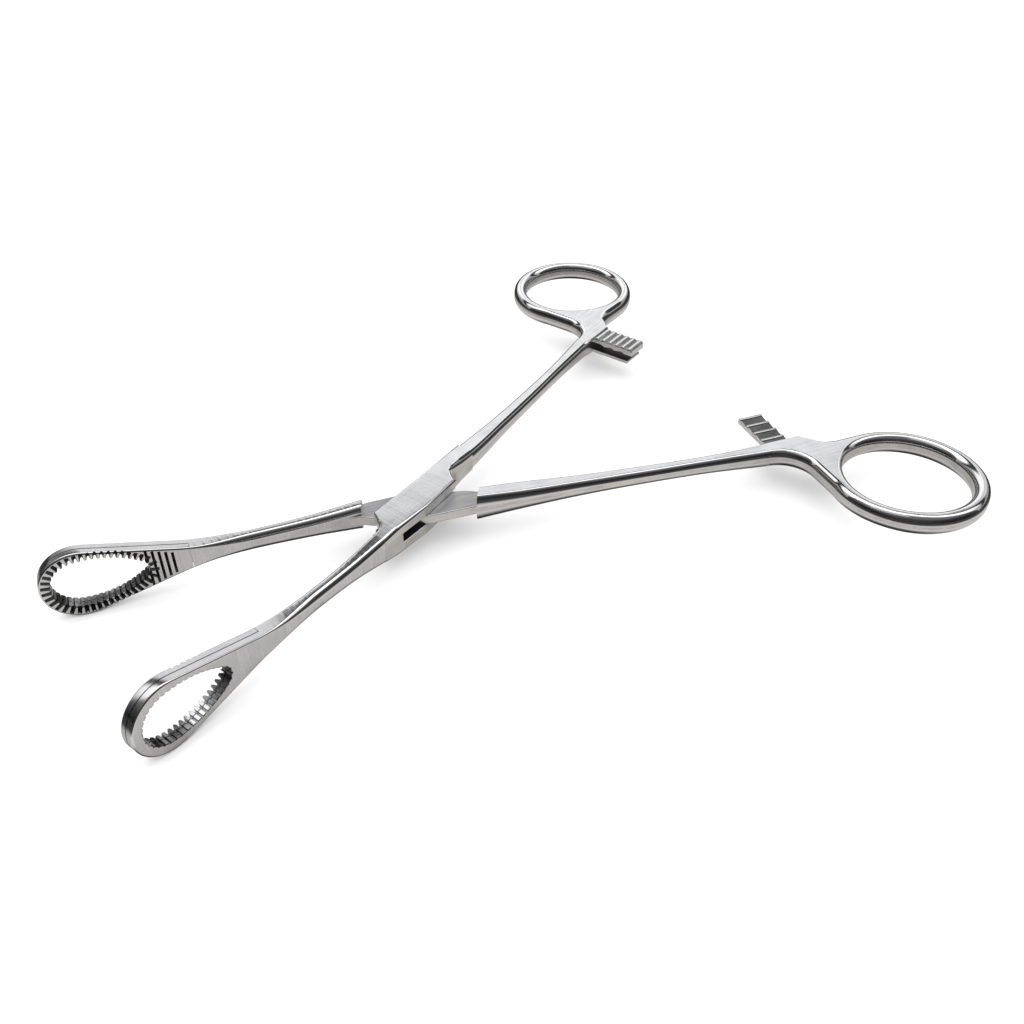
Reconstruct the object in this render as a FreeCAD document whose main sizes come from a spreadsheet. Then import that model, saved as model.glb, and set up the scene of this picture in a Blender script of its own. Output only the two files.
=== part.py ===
import FreeCAD, Part
import math
import os

import Sketcher
from FreeCAD import Placement, Rotation, Vector

# Straight sponge forceps with a box lock, finger rings, a ratchet and upright fenestrated jaws.
# Millimetres. The origin lies on the pivot axis in the plane of the lock's underside, +Z is up,
# and +X runs midway between the two halves towards the finger rings.
# Each half is drawn closed, with the pivot at its origin, its middle plane at Z 0, its ring on the
# +Y side and its jaw on the -Y side. The tongue half is then mirrored across the XZ plane.

SIZES = {
    # Lock plates, shared by both halves
    "lock_thickness": 6.6,
    "plate_front": 3.8,
    "plate_back": 2.95,
    "plate_reach": 8.5,
    "throat_reach": 12.2,
    "throat_lead": 1.5,
    "throat_radius": 2.2,
    "back_flare": 1.7,
    "lock_end": 19.0,
    "arm_start": 13.0,
    "lock_drop": 0.75,
    "arm_drop": 0.55,
    "halves_gap": 0.35,
    "arm_gap": 0.65,
    # Slot and tongue
    "tongue_thickness": 2.0,
    "slot_clearance": 0.05,
    "slot_reach": 8.2,
    "slot_slant": 4.8,
    "slot_foot": 0.25,
    "tongue_half_width": 4.15,
    "tongue_throat": 0.95,
    "tongue_shift": 1.7,
    "shank_shoulder": 12.9,
    "arm_shoulder": 10.8,
    "shank_slant": 2.2,
    "arm_slant": 1.4,
    "shoulder_inset": 0.6,
    # Pivot pin
    "pin_diameter": 3.2,
    "pin_running_fit": 0.05,
    "pin_head_flare": 0.3,
    # Finger ring
    "ring_x": 95.6,
    "ring_y": 26.3,
    "ring_breadth": 24.4,
    "ring_stretch": 1.5,
    "ring_tilt": 17.0,
    "ring_wall": 3.2,
    "ring_thickness": 4.4,
    "ring_easing": 0.95,
    # Flat web between shank and ring
    "web_start": 71.0,
    "web_thickness": 4.0,
    "web_inset": 0.1,
    "web_corner": 82.4,
    "neck_side": 79.65,
    "neck_fillet": 6.5,
    "heel_fillet": 8.6,
    # Ratchet
    "ratchet_x": 76.0,
    "ratchet_width": 5.6,
    "ratchet_root": 7.1,
    "ratchet_bury": 1.4,
    "box_bar_reach": 10.6,
    "tongue_bar_reach": 12.8,
    "bar_thickness": 1.35,
    "guard_thickness": 0.5,
    "guard_setback": 1.0,
    "ratchet_gap": 0.15,
    "tooth_depth": 0.4,
    "ridge_pitch": 1.8,
    "catch_pitch": 2.85,
    # Jaw
    "jaw_reach": 68.2,
    "jaw_half_width": 7.0,
    "jaw_taper": 14.4,
    "jaw_flare": 34.0,
    "jaw_layer": 1.4,
    "jaw_yaw": 1.47,
    "jaw_gap": 0.15,
    "plate_length": 26.0,
    "jaw_root": 7.0,
    "window_rim": 2.0,
    "window_length": 16.6,
    "window_flank": 16.0,
    "window_end": 2.2,
    "tooth_pitch": 1.09,
    "groove_depth": 0.7,
    "groove_land": 3.2,
    "notch_depth": 0.35,
    "long_groove_reach": 3.6,
    # Shank stations from the lock outwards: distance, centre line, width, height and rounding.
    # The first one belongs to one half, the others to both.
    "box_shank_x_a": 13.0,
    "box_shank_y_a": 2.5,
    "box_shank_width_a": 4.1,
    "box_shank_height_a": 5.6,
    "box_shank_round_a": 0.6,
    "tongue_shank_x_a": 10.0,
    "tongue_shank_y_a": 2.4,
    "tongue_shank_width_a": 4.0,
    "tongue_shank_height_a": 6.0,
    "tongue_shank_round_a": 1.1,
    "shank_x_b": 19.0,
    "shank_y_b": 2.95,
    "shank_width_b": 4.25,
    "shank_height_b": 4.75,
    "shank_round_b": 1.1,
    "shank_x_c": 33.0,
    "shank_y_c": 4.3,
    "shank_width_c": 3.4,
    "shank_height_c": 3.7,
    "shank_round_c": 1.1,
    "shank_x_d": 47.0,
    "shank_y_d": 5.75,
    "shank_width_d": 3.0,
    "shank_height_d": 3.3,
    "shank_round_d": 1.1,
    "shank_x_e": 60.0,
    "shank_y_e": 7.2,
    "shank_width_e": 2.85,
    "shank_height_e": 3.4,
    "shank_round_e": 1.1,
    "shank_x_f": 73.5,
    "shank_y_f": 8.75,
    "shank_width_f": 3.6,
    "shank_height_f": 4.0,
    "shank_round_f": 1.1,
    # Arm stations in the same way; the last lies a little behind the serrated plate
    "box_arm_x_a": 12.6,
    "box_arm_y_a": 2.2,
    "box_arm_width_a": 3.0,
    "box_arm_height_a": 5.6,
    "box_arm_round_a": 0.35,
    "tongue_arm_x_a": 8.4,
    "tongue_arm_y_a": 2.2,
    "tongue_arm_width_a": 3.1,
    "tongue_arm_height_a": 6.0,
    "tongue_arm_round_a": 1.0,
    "arm_x_b": 19.0,
    "arm_y_b": 2.15,
    "arm_width_b": 2.7,
    "arm_height_b": 4.3,
    "arm_round_b": 0.9,
    "arm_x_c": 30.0,
    "arm_y_c": 2.15,
    "arm_width_c": 2.45,
    "arm_height_c": 3.7,
    "arm_round_c": 1.0,
    "arm_y_d": 2.2,
    "arm_width_d": 2.6,
    "arm_height_d": 3.7,
    "arm_round_d": 1.0,
    "arm_setback": 2.2,
    # Opening between the halves as they lie
    "rest_opening": 32.5,
}

doc = FreeCAD.newDocument("sponge_forceps")
sheet = doc.addObject("Spreadsheet::Sheet", "sizes")


def fill_sheet():
    for row, (name, value) in enumerate(SIZES.items(), start=1):
        sheet.set(f"A{row}", name)
        sheet.set(f"B{row}", str(value))
        sheet.setAlias(f"B{row}", name)
    doc.recompute()


class Measure:
    """A length or angle together with the sheet expression that gives it."""

    def __init__(self, value, text):
        self.value = value
        self.text = text

    def __add__(self, other):
        other = measure(other)
        return Measure(self.value + other.value, f"({self.text} + {other.text})")

    def __sub__(self, other):
        other = measure(other)
        return Measure(self.value - other.value, f"({self.text} - {other.text})")

    def __mul__(self, other):
        other = measure(other)
        return Measure(self.value * other.value, f"({self.text} * {other.text})")

    def __truediv__(self, other):
        other = measure(other)
        return Measure(self.value / other.value, f"({self.text} / {other.text})")

    def __neg__(self):
        return Measure(-self.value, f"(-1 * {self.text})")

    def __rsub__(self, other):
        return measure(other) - self

    __radd__ = __add__
    __rmul__ = __mul__


def measure(value):
    return value if isinstance(value, Measure) else Measure(float(value), repr(float(value)))


def size(name):
    return Measure(float(sheet.get(name)), f"sizes.{name}")


def sine(angle):
    return Measure(math.sin(math.radians(angle.value)), f"sin({angle.text})")


def cosine(angle):
    return Measure(math.cos(math.radians(angle.value)), f"cos({angle.text})")


def tangent(angle):
    return Measure(math.tan(math.radians(angle.value)), f"tan({angle.text})")


def root(value):
    return Measure(math.sqrt(value.value), f"sqrt({value.text})")


def bind(item, **sizes):
    """Tie properties of an object to sheet expressions; a double underscore stands for a dot."""
    for name, value in sizes.items():
        item.setExpression(name.replace("__", "."), measure(value).text)


def arc_centre(start, end, radius):
    """Centre of the arc from start to end; a positive radius bends to the left of the way."""
    chord = end - start
    middle = (start + end) * 0.5
    left = Vector(-chord.y, chord.x, 0).normalize()
    rise = math.sqrt(max(radius * radius - chord.Length ** 2 / 4, 0.0))
    return middle - left * rise if radius < 0 else middle + left * rise


def draw_outline(sketch, steps):
    """Close an outline through steps (x, y) or (x, y, radius), the radius being that of the arc
    that leads to the step. Every corner is held at its own coordinates."""
    points = [Vector(measure(step[0]).value, measure(step[1]).value, 0) for step in steps]
    count = len(steps)
    for index, step in enumerate(steps):
        start, end = points[index - 1], points[index]
        if len(step) == 3:
            bend = measure(step[2])
            centre = arc_centre(start, end, bend.value)
            first, last = (start, end) if bend.value > 0 else (end, start)
            circle = Part.Circle(centre, Vector(0, 0, 1), abs(bend.value))
            edge = Part.ArcOfCircle(circle, circle.parameter(first), circle.parameter(last))
        else:
            bend = None
            edge = Part.LineSegment(start, end)
        number = sketch.addGeometry(edge, False)
        tail = 2 if bend is None or bend.value > 0 else 1
        for word, value in (("DistanceX", step[0]), ("DistanceY", step[1])):
            value = measure(value)
            pin = sketch.addConstraint(Sketcher.Constraint(word, -1, 1, number, tail, value.value))
            sketch.setExpression(f"Constraints[{pin}]", value.text)
        if bend is not None:
            pin = sketch.addConstraint(Sketcher.Constraint("Radius", number, abs(bend.value)))
            sketch.setExpression(f"Constraints[{pin}]", (bend if bend.value > 0 else -bend).text)
    first = sketch.GeometryCount - count
    for index in range(count):
        def ends(which):
            step = steps[which]
            flipped = len(step) == 3 and measure(step[2]).value < 0
            return (2, 1) if flipped else (1, 2)
        here = first + index
        before = first + (index - 1) % count
        sketch.addConstraint(
            Sketcher.Constraint("Coincident", before, ends(index - 1)[1], here, ends(index)[0]))


def new_body(name):
    return doc.addObject("PartDesign::Body", name)


def body_sketch(body, name, plane, steps):
    """Sketch a closed outline on one of the body's own origin planes."""
    sketch = body.newObject("Sketcher::SketchObject", name)
    base = [item for item in body.Origin.OriginFeatures if item.Role == plane][0]
    sketch.AttachmentSupport = [(base, "")]
    sketch.MapMode = "FlatFace"
    draw_outline(sketch, steps)
    return sketch


def pad(body, name, sketch, length, both_ways=True):
    feature = body.newObject("PartDesign::Pad", name)
    feature.Profile = sketch
    feature.Midplane = both_ways
    bind(feature, Length=length)
    body.Tip = feature
    return feature


def pocket(body, name, sketch, length):
    """Cut the outline through the body, half the length to either side of its plane."""
    doc.recompute()
    before = body.Shape.Volume
    feature = body.newObject("PartDesign::Pocket", name)
    feature.Profile = sketch
    feature.Midplane = True
    bind(feature, Length=length)
    body.Tip = feature
    doc.recompute()
    if not body.Shape.Volume < before:
        raise RuntimeError(f"{name} cuts nothing")
    return feature


def rounded_section(name, x, y, width, height, corner):
    """Rounded rectangle across the half at x, centred at y."""
    half_width = width / 2
    half_height = height / 2
    flat_width = half_width - corner
    flat_height = half_height - corner
    sketch = doc.addObject("Sketcher::SketchObject", name)
    draw_outline(sketch, [
        (half_width, -flat_height, corner),
        (half_width, flat_height),
        (flat_width, half_height, corner),
        (-flat_width, half_height),
        (-half_width, flat_height, corner),
        (-half_width, -flat_height),
        (-flat_width, -half_height, corner),
        (flat_width, -half_height),
    ])
    sketch.Placement = Placement(Vector(x.value, y.value, 0), Rotation(Vector(1, 1, 1), 120))
    bind(sketch, Placement__Base__x=x, Placement__Base__y=y)
    return sketch


def station(prefix, letter, way):
    """Rounded section across the half, way being 1 along the shank and -1 along the arm."""
    if prefix == "arm" and letter == "d":
        x = size("plate_length") + size("arm_setback") - size("jaw_reach")
    else:
        x = size(f"{prefix}_x_{letter}") * way
    return [x, size(f"{prefix}_y_{letter}") * way] + [
        size(f"{prefix}_{name}_{letter}") for name in ("width", "height", "round")]


def limb_loft(side, word, letters, way):
    """Tapering bar of one half through its stations."""
    sections = []
    for letter in letters:
        prefix = f"{side}_{word}" if letter == "a" else word
        sections.append(rounded_section(f"{side}_{word}_section_{letter}",
                                        *station(prefix, letter, way)))
    loft = doc.addObject("Part::Loft", f"{side}_{word}_loft")
    loft.Sections = sections
    loft.Solid = True
    loft.Ruled = True
    return loft


def fuse(name, *shapes):
    feature = doc.addObject("Part::MultiFuse", name)
    feature.Shapes = list(shapes)
    feature.Refine = False
    return feature


def cut(name, base, tool):
    feature = doc.addObject("Part::Cut", name)
    feature.Base = base
    feature.Tool = tool
    feature.Refine = False
    return feature


def cylinder(name, diameter, height):
    """Upright cylinder on the pivot axis, centred on the middle plane."""
    feature = doc.addObject("Part::Cylinder", name)
    bind(feature, Radius=diameter / 2, Height=height, Placement__Base__z=-height / 2)
    return feature


def ring_oval(half_breadth):
    """Two half circles joined by short straights, centred on the origin."""
    shift = size("ring_stretch") / 2
    return [
        (shift, -half_breadth),
        (shift + half_breadth, measure(0), half_breadth),
        (shift, half_breadth, half_breadth),
        (-shift, half_breadth),
        (-shift - half_breadth, measure(0), half_breadth),
        (-shift, -half_breadth, half_breadth),
    ]


def finger_ring():
    """Oval ring with all four edges eased."""
    body = new_body("finger_ring")
    inside = size("ring_breadth") / 2
    outline = body_sketch(body, "ring_outline", "XY_Plane", ring_oval(inside + size("ring_wall")))
    pad(body, "ring_pad", outline, size("ring_thickness"))
    hole = body_sketch(body, "ring_hole_outline", "XY_Plane", ring_oval(inside))
    blank = pocket(body, "ring_hole", hole, size("ring_thickness") * 2)
    flats = [f"Face{number}" for number, face in enumerate(blank.Shape.Faces, 1)
             if face.Surface.TypeId == "Part::GeomPlane" and abs(face.Surface.Axis.z) > 0.5]
    eased = body.newObject("PartDesign::Chamfer", "ring_easing")
    eased.Base = (blank, flats)
    bind(eased, Size=size("ring_easing"))
    body.Tip = eased
    body.Placement = Placement(Vector(), Rotation(Vector(0, 0, 1), 1))
    bind(body, Placement__Base__x=size("ring_x"), Placement__Base__y=size("ring_y"),
         Placement__Rotation__Angle=size("ring_tilt"))
    return body


def ring_point(angle, inset):
    """Point on the ring's outline, moved inwards by inset, at an angle in the ring's own frame."""
    half_length = (size("ring_breadth") + size("ring_stretch")) / 2
    reach = (half_length + size("ring_wall") - inset) * cosine(measure(angle))
    rise = (size("ring_breadth") / 2 + size("ring_wall") - inset) * sine(measure(angle))
    tilt = size("ring_tilt")
    return (size("ring_x") + reach * cosine(tilt) - rise * sine(tilt),
            size("ring_y") + reach * sine(tilt) + rise * cosine(tilt))


def neck_web():
    """Flat web where the shank spreads into the ring, filleted into it on both sides."""
    body = new_body("neck_web")
    start = size("web_start")
    run = size("shank_x_f") - size("shank_x_e")
    slope = (size("shank_y_f") - size("shank_y_e")) / run
    spread = (size("shank_width_f") - size("shank_width_e")) / 2 / run
    outer_slope = slope + spread
    steep = root(outer_slope * outer_slope + 1)
    fillet = size("neck_fillet")
    side = size("neck_side")
    bend_x = side - fillet + fillet * outer_slope / steep
    outer_edge = size("shank_y_f") + size("shank_width_f") / 2 - size("web_inset")
    bend_y = outer_edge + outer_slope * (bend_x - size("shank_x_f"))
    heel = size("heel_fillet")
    ring_foot = (size("ring_breadth") / 2 + size("ring_wall")
                 + size("ring_stretch") / 2 * sine(size("ring_tilt")))
    heel_y = size("ring_y") - ring_foot + size("web_inset")
    drop = heel - (heel_y - size("ratchet_root"))
    heel_x = size("web_corner") + root(heel * heel - drop * drop)
    inner_edge = size("shank_y_f") - size("shank_width_f") / 2 + size("web_inset")
    buried = size("ring_wall") * 0.6
    sketch = body_sketch(body, "neck_outline", "XY_Plane", [
        (start, inner_edge - (slope - spread) * (size("shank_x_f") - start)),
        (size("web_corner"), size("ratchet_root")),
        (heel_x, heel_y, -heel),
        (size("ring_x") - size("ring_wall"), heel_y + size("ring_wall") / 4),
        ring_point(-115, buried),
        ring_point(-135, buried),
        ring_point(-155, buried),
        ring_point(-175, buried),
        (side, size("ring_y") - size("ring_wall") / 2),
        (side, bend_y + fillet / steep),
        (bend_x, bend_y, -fillet),
        (start, outer_edge - outer_slope * (size("shank_x_f") - start)),
    ])
    pad(body, "neck_pad", sketch, size("web_thickness"))
    return body


def taper_ends(body):
    """Slope the top and the underside down to the shank and the arm beyond the flat plates."""
    half = size("lock_thickness") / 2
    over = half + 1
    flat = size("plate_reach") + 1
    for word, way in (("top", 1), ("underside", -1)):
        steps = [
            (-size("arm_start") - 1, way * (half - size("arm_drop"))),
            (-flat, way * half),
            (flat, way * half),
            (size("lock_end") + 1, way * (half - size("lock_drop"))),
            (size("lock_end") + 1, way * over),
            (-size("arm_start") - 1, way * over),
        ]
        sketch = body_sketch(body, f"{body.Name}_{word}_slope", "XZ_Plane", steps)
        pocket(body, f"{body.Name}_{word}_cut", sketch, 4 * size("plate_reach"))


def box_lock():
    """Solid block of the box half with the slot that the tongue passes through."""
    body = new_body("box_lock")
    front = size("plate_front")
    back = size("plate_back")
    reach = size("plate_reach")
    throat = size("throat_reach")
    lead = size("throat_lead")
    end = size("lock_end")
    shank_inner = size("shank_y_b") - size("shank_width_b") / 2
    shank_outer = size("shank_y_b") + size("shank_width_b") / 2
    sketch = body_sketch(body, "box_outline", "XY_Plane", [
        (-size("arm_start"), -front),
        (-reach / 8, -front),
        (reach, -back),
        (reach + lead, -lead / 2),
        (throat, size("halves_gap"), -size("throat_radius")),
        (end, shank_inner),
        (end, shank_outer),
        (reach, back + size("back_flare") / 3),
        (-reach, back),
        (-reach - lead, lead / 2),
        (-throat, -size("arm_gap"), -size("throat_radius")),
        (-size("arm_start"), -size("arm_gap")),
    ])
    pad(body, "box_pad", sketch, size("lock_thickness"))
    taper_ends(body)
    return body


def lock_slot():
    """Space through the box for the tongue, its ends slanted for the tongue's swing."""
    body = new_body("lock_slot")
    front = size("plate_front")
    slot = size("slot_reach")
    beyond = slot + size("slot_slant")
    clear = 3 * front
    foot = size("slot_foot")
    sketch = body_sketch(body, "slot_outline", "XY_Plane", [
        (-slot, -clear),
        (beyond, -clear),
        (beyond, foot),
        (slot, front),
        (slot, clear),
        (-beyond, clear),
        (-beyond, -foot),
        (-slot, -front),
    ])
    pad(body, "slot_pad", sketch, size("tongue_thickness") + 2 * size("slot_clearance"))
    return body


def tongue_plate():
    """Thin tongue that joins the shank and the arm through the box."""
    body = new_body("tongue")
    half_width = size("tongue_half_width")
    throat = size("throat_reach")
    shift = size("tongue_shift")
    arm = size("arm_start")
    shank = size("shank_shoulder")
    gap = size("halves_gap")
    outer = size("tongue_shank_y_a") + size("tongue_shank_width_a") / 2
    sketch = body_sketch(body, "tongue_outline", "XY_Plane", [
        (-arm, size("shoulder_inset") / 2 - size("plate_front")),
        (-size("plate_reach"), -half_width),
        (-shift, -half_width),
        (throat - shift, -size("tongue_throat")),
        (shank, gap),
        (shank + 1, gap + size("shoulder_inset") / 2),
        (shank + 1, outer + gap / 2),
        (shift, half_width),
        (-throat + 2 * shift, size("tongue_throat")),
        (-size("arm_shoulder"), -gap / 2),
        (-arm, -size("arm_gap")),
    ])
    pad(body, "tongue_pad", sketch, size("tongue_thickness"))
    return body


def tongue_recess():
    """Space between the two shoulders, where the box swings round the tongue."""
    body = new_body("tongue_recess")
    clear = 3 * size("plate_front")
    shank = size("shank_shoulder")
    arm = size("arm_shoulder")
    inset = size("shoulder_inset")
    wide = size("tongue_half_width")
    sketch = body_sketch(body, "recess_outline", "XY_Plane", [
        (-arm + size("arm_slant"), -clear),
        (shank + inset, -clear),
        (shank + inset, inset / 2),
        (shank, inset),
        (shank - size("shank_slant"), wide + inset),
        (shank - size("shank_slant"), clear),
        (-shank, clear),
        (-shank, inset / 2),
        (-arm, -inset / 4),
        (-arm + size("arm_slant"), -wide),
    ])
    pad(body, "recess_pad", sketch, 2 * size("lock_thickness"))
    return body


def pivot_pin():
    """Riveted pin, its two heads countersunk flush into the plates."""
    body = new_body("pin_blank")
    half = size("lock_thickness") / 2
    radius = size("pin_diameter") / 2
    flare = size("pin_head_flare")
    sketch = body_sketch(body, "pin_outline", "XZ_Plane", [
        (0, -half),
        (radius + flare, -half),
        (radius, -half + 2 * flare),
        (radius, half - 2 * flare),
        (radius + flare, half),
        (0, half),
    ])
    turn = body.newObject("PartDesign::Revolution", "pin_turned")
    turn.Profile = sketch
    turn.ReferenceAxis = (sketch, ["V_Axis"])
    turn.Angle = 360
    body.Tip = turn
    return body


def bar_body(name, steps):
    """Bar across the gap, drawn from the side and as wide as the ratchet."""
    body = new_body(name)
    pad(body, f"{name}_pad", body_sketch(body, f"{name}_outline", "YZ_Plane", steps),
        size("ratchet_width"), both_ways=False)
    body.Placement = Placement(Vector(1, 0, 0), Rotation())
    bind(body, Placement__Base__x=size("ratchet_x"))
    return body


def box_ratchet():
    """Forked ratchet: a bar ridged above and toothed below, and a plain guard under the gap."""
    rooted = size("ratchet_root") + size("ratchet_bury")
    tip = size("ratchet_root") - size("box_bar_reach")
    low = size("ratchet_gap") / 2
    high = low + size("bar_thickness")
    depth = size("tooth_depth")
    pitch = size("catch_pitch")
    ridge = size("ridge_pitch")
    teeth = int(size("box_bar_reach").value / pitch.value)
    ridges = int((size("box_bar_reach").value - 0.3) / ridge.value)
    steps = [(rooted, high), (rooted, low + depth)]
    for number in reversed(range(1, teeth + 1)):
        steps.append((tip + number * pitch, low + depth))
        steps.append((tip + number * pitch - pitch * 0.3, low))
    steps += [(tip, low), (tip, high)]
    for number in range(1, ridges + 1):
        steps.append((tip + number * ridge, high, -ridge * 0.62))
    steps.append((tip + ridges * ridge + 0.2, high))
    bar = bar_body("box_bar", steps)
    top = -low - size("bar_thickness") - size("ratchet_gap")
    guard = bar_body("guard_bar", [
        (rooted, top),
        (tip + size("guard_setback"), top),
        (tip + size("guard_setback"), top - size("guard_thickness")),
        (rooted, top - size("guard_thickness")),
    ])
    return [bar, guard]


def tongue_ratchet():
    """Single bar with stepped catch teeth on top, which slides into the fork."""
    rooted = size("ratchet_root") + size("ratchet_bury")
    tip = size("ratchet_root") - size("tongue_bar_reach")
    high = -size("ratchet_gap") / 2
    low = high - size("bar_thickness")
    depth = size("tooth_depth")
    pitch = size("catch_pitch")
    teeth = int(size("tongue_bar_reach").value / pitch.value)
    steps = [(rooted, high - depth), (rooted, low), (tip, low), (tip, high - depth)]
    for number in range(teeth):
        steps.append((tip + number * pitch + pitch * 0.3, high))
        steps.append((tip + (number + 1) * pitch, high - depth))
    return bar_body("tongue_bar", steps)


def symmetric(steps):
    """Outline from its upper half, drawn from the lock end to a last step on the axis."""
    lower = []
    for index in reversed(range(len(steps) - 1)):
        here, after = steps[index], steps[index + 1]
        lower.append((here[0], -here[1]) + tuple(after[2:]))
    return steps + lower


def jaw_outline(length):
    """Teardrop: a round tip, straight flanks and a concave flare into the arm. X runs from the
    tip towards the lock."""
    tip = size("jaw_half_width")
    taper = size("jaw_taper")
    flare = size("jaw_flare")
    arm = size("arm_height_c") / 2
    shoulder = (tip + tip * sine(taper), tip * cosine(taper))
    drop = shoulder[1] - arm - flare * (1 - cosine(taper))
    foot_x = shoulder[0] + flare * sine(taper) + drop / tangent(taper)
    bend = (foot_x - flare * sine(taper), arm + flare * (1 - cosine(taper)))
    if length.value > foot_x.value:
        start = [(length, arm), (foot_x, arm), bend + (-flare,)]
    else:
        rise = flare - root(flare * flare - (foot_x - length) * (foot_x - length))
        start = [(length, arm + rise), bend + (-flare,)]
    return symmetric(start + [shoulder, (measure(0), measure(0), tip)])


def window_outline():
    """Oval window of three tangent arcs a side: round at the tip, flatter flanks, tight end."""
    rim = size("window_rim")
    nose = size("jaw_half_width") - rim
    flank = size("window_flank")
    end = size("window_end")
    nose_x = size("jaw_half_width")
    end_x = rim + size("window_length") - end
    span = end_x - nose_x
    to_nose = flank - nose
    to_end = flank - end
    along = (span * span + to_nose * to_nose - to_end * to_end) / (2 * span)
    below = root(to_nose * to_nose - along * along)
    nose_meet = (nose_x - along * nose / to_nose, below * nose / to_nose)
    end_meet = (end_x + (span - along) * end / to_end, below * end / to_end)
    return symmetric([end_meet + (end,), nose_meet + (flank,), (rim, measure(0), nose)])


def jaw_body(name, length, thickness):
    """Jaw with its window, from the gripping face back through its thickness."""
    body = new_body(name)
    pad(body, f"{name}_pad", body_sketch(body, f"{name}_outline", "XZ_Plane", jaw_outline(length)),
        thickness, both_ways=False)
    pocket(body, f"{name}_window", body_sketch(body, f"{name}_opening", "XZ_Plane",
                                               window_outline()), 4 * thickness)
    place_on_jaw(body)
    return body


def jaw_back():
    """Jaw of the half itself, recessed where the serrated plate is let in."""
    layer = size("jaw_layer")
    body = jaw_body("jaw_back", size("plate_length") + size("jaw_root"), 2 * layer)
    sketch = body_sketch(body, "plate_seat", "XY_Plane", [
        (measure(-1), -layer),
        (size("plate_length"), -layer),
        (size("plate_length"), measure(1)),
        (measure(-1), measure(1)),
    ])
    pocket(body, "seat_cut", sketch, 4 * size("jaw_half_width"))
    return body


def place_on_jaw(item):
    """Stand an object drawn on the jaw's own axes in its place on the closed half."""
    item.Placement = Placement(Vector(), Rotation(Vector(0, 0, 1), -1))
    bind(item, Placement__Base__x=-size("jaw_reach"), Placement__Base__y=-size("jaw_gap") / 2,
         Placement__Rotation__Angle=-size("jaw_yaw"))


def solid_from(points, faces):
    """Closed solid with flat faces, each given by the numbers of its corners."""
    shells = []
    for corners in faces:
        loop = [points[corner] for corner in corners] + [points[corners[0]]]
        shells.append(Part.Face(Part.makePolygon(loop)))
    solid = Part.Solid(Part.Shell(shells))
    if solid.Volume < 0:
        solid.reverse()
    return solid


def wall_stations():
    """Evenly spaced points on the window's wall, each with its tangent and outward normal."""
    edges = doc.getObject("plate_blank_opening").Shape.Wires[0]
    count = int(round(edges.Length / size("tooth_pitch").value))
    middle = edges.BoundBox.Center
    points = edges.discretize(count + 1)[:-1]
    stations = []
    for index, point in enumerate(points):
        along = points[(index + 1) % count] - points[index - 1]
        along.normalize()
        out = Vector(along.z, 0, -along.x)
        if out.dot(Vector(point.x - middle.x, 0, point.z - middle.z)) < 0:
            out = -out
        stations.append((Vector(point.x, 0, point.z), along, out))
    return stations


def face_grooves():
    """Tapered V grooves round the window and straight ones across the face behind it."""
    pitch = size("tooth_pitch").value
    depth = size("groove_depth").value
    rim = size("window_rim").value
    over = 0.05
    into = 0.3
    half = pitch * 0.49
    cutters = []
    up = Vector(0, over, 0)
    for point, along, out in wall_stations():
        mouth = point - out * into
        tip = point + out * (rim * 0.68)
        corners = [mouth - along * half + up, mouth + along * half + up,
                   mouth - Vector(0, depth, 0), tip + up]
        cutters.append(solid_from(corners, ((0, 1, 3), (1, 2, 3), (2, 0, 3), (0, 2, 1))))
    first = rim + size("window_length").value - pitch * 0.4
    room = size("plate_length").value - size("groove_land").value - first
    for number in range(int(room / pitch) + 1):
        x = first + number * pitch
        reach = size("long_groove_reach").value - number * pitch * math.tan(
            math.radians(size("jaw_taper").value)) * 1.5
        corners = []
        for z in (-reach, reach):
            corners += [Vector(x - half, over, z), Vector(x + half, over, z)]
        corners += [Vector(x, -depth * 0.7, -reach + 0.5), Vector(x, -depth * 0.7, reach - 0.5)]
        cutters.append(solid_from(corners, ((0, 1, 3, 2), (0, 4, 1), (2, 3, 5),
                                            (0, 2, 5, 4), (1, 4, 5, 3))))
    return cutters


def wall_notches():
    """Notches across the jaw's back layer that leave blunt teeth in the window's wall."""
    pitch = size("tooth_pitch").value
    depth = size("notch_depth").value
    near = size("jaw_layer").value - 0.1
    far = 2 * size("jaw_layer").value + 0.1
    half = pitch * 0.3
    limit = size("window_rim").value + size("window_length").value * 0.72
    cutters = []
    for point, along, out in wall_stations():
        if point.x > limit:
            continue
        mouth = point - out * 0.3
        bottom = point + out * depth
        flat = [mouth - along * half * 1.3, mouth + along * half * 1.3, bottom + along * half,
                bottom - along * half]
        corners = [corner - Vector(0, near, 0) for corner in flat]
        corners += [corner - Vector(0, far, 0) for corner in flat]
        cutters.append(solid_from(corners, ((0, 1, 2, 3), (7, 6, 5, 4), (0, 4, 5, 1),
                                            (1, 5, 6, 2), (2, 6, 7, 3), (3, 7, 4, 0))))
    return cutters


def cutter_set(name, solids):
    """Many cutters on the jaw's axes as a single object."""
    feature = doc.addObject("Part::Feature", name)
    feature.Shape = Part.makeCompound(solids)
    place_on_jaw(feature)
    return feature


def copied(name, source):
    feature = doc.addObject("Part::Compound", name)
    feature.Links = [source]
    return feature


def mirrored(name, source):
    feature = doc.addObject("Part::Mirroring", name)
    feature.Source = source
    feature.Base = (0, 0, 0)
    feature.Normal = (0, 1, 0)
    return feature


def lay_open(feature, way):
    """Lift a closed piece on to the lock's underside and turn it half the rest opening."""
    feature.Placement = Placement(Vector(0, 0, 3), Rotation(Vector(0, 0, 1), 16))
    bind(feature, Placement__Base__z=size("lock_thickness") / 2,
         Placement__Rotation__Angle=way * size("rest_opening") / 2)
    return feature


def check_states():
    for item in doc.Objects:
        if "Invalid" in item.State or "Error" in item.State:
            raise RuntimeError(f"{item.Name} failed: {item.State}")


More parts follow.
